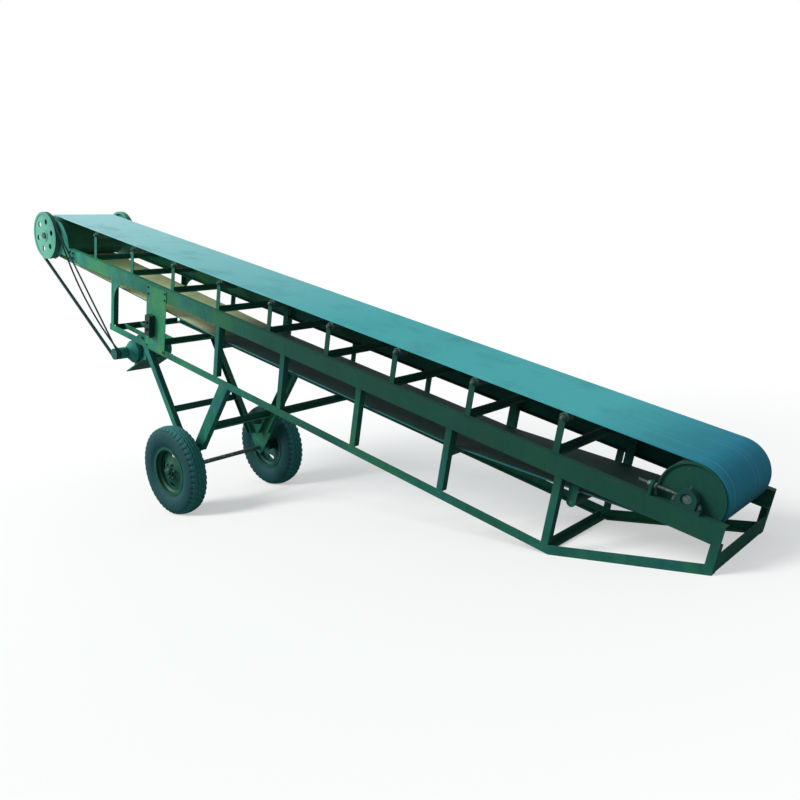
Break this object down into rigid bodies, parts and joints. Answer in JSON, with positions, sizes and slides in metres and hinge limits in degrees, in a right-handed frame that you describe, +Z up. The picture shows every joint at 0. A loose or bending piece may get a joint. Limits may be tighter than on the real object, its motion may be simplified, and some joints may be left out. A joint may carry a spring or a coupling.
{
  "type": "portable belt conveyor",
  "caption": "Inclined truss conveyor on road wheels: flat belt on idler frames, pulley-driven head drum, motor below, screw take-up at the tail.",
  "frame": {"origin": "on the floor under the middle of the machine's box", "axes": "+X along the machine towards the tail, -Y towards the drive side, +Z up"},
  "size_m": [7.0402, 1.2918, 3.0344],
  "materials": {
    "green_paint": "satin",
    "rim_paint": "satin",
    "plate_paint": "satin",
    "motor_paint": "satin",
    "bearing_iron": "rough",
    "steel": "worn",
    "belt_rubber": "matte",
    "drive_rubber": "matte",
    "box_plastic": "matte",
    "tyre_rubber": "matte"
  },
  "bodies": {
    "frame": {"stringer_near": "green_paint", "stringer_far": "green_paint", "lower_chord_near": "green_paint", "lower_chord_far": "green_paint", "skid_near": "green_paint", "skid_far": "green_paint", "tail_end_posts": "green_paint", "tail_end_plate": "green_paint", "truss_posts_near": "green_paint", "truss_posts_far": "green_paint", "truss_cross_bars": "green_paint", "idler_posts_near": "green_paint", "idler_posts_far": "green_paint", "idler_foot_bars": "green_paint", "carrying_rollers": "steel", "return_brackets": "green_paint", "return_rollers": "steel", "belt": "belt_rubber", "head_plate_near": "green_paint", "head_plate_far": "green_paint", "head_bearings": "bearing_iron", "tail_bearings": "bearing_iron", "takeup_lugs": "green_paint", "takeup_screws": "steel", "motor_base": "green_paint", "motor": "motor_paint", "v_belts": "drive_rubber", "switch_plate": "plate_paint", "switch_box": "box_plastic", "legs_near": "green_paint", "legs_far": "green_paint", "leg_brackets": "green_paint", "leg_cross_bars": "green_paint", "axle": "steel"},
    "wheel_near": {"tyre_near": "tyre_rubber", "rim_near": "rim_paint"},
    "wheel_far": {"tyre_far": "tyre_rubber", "rim_far": "rim_paint"},
    "head_rotor": {"head_drum": "green_paint", "head_shaft": "steel", "drive_pulley": "green_paint", "far_pulley": "green_paint"},
    "tail_rotor": {"tail_drum": "green_paint", "tail_shaft": "steel"},
    "motor_rotor": {"motor_pulley": "bearing_iron"}
  },
  "joints": [
    {"name": "wheel_near_spin", "type": "hinge", "parent": "frame", "child": "wheel_near", "pos_m": [-1.33518, 0, 0.405], "axis": [0, 1, 0], "continuous": true},
    {"name": "wheel_far_spin", "type": "hinge", "parent": "frame", "child": "wheel_far", "pos_m": [-1.33518, 0, 0.405], "axis": [0, 1, 0], "continuous": true},
    {"name": "head_drum_spin", "type": "hinge", "parent": "frame", "child": "head_rotor", "pos_m": [-3.28018, 0, 2.79439], "axis": [0, 1, 0], "continuous": true},
    {"name": "tail_drum_spin", "type": "hinge", "parent": "frame", "child": "tail_rotor", "pos_m": [3.31988, 0, 0.40281], "axis": [0, 1, 0], "continuous": true},
    {"name": "motor_pulley_spin", "type": "hinge", "parent": "frame", "child": "motor_rotor", "pos_m": [-2.27114, 0, 1.49385], "axis": [0, 1, 0], "continuous": true}
  ],
  "couplings": [
    {"joint": "tail_drum_spin", "follows": "head_drum_spin", "ratio": 1.0526},
    {"joint": "motor_pulley_spin", "follows": "head_drum_spin", "ratio": 4.7374}
  ]
}
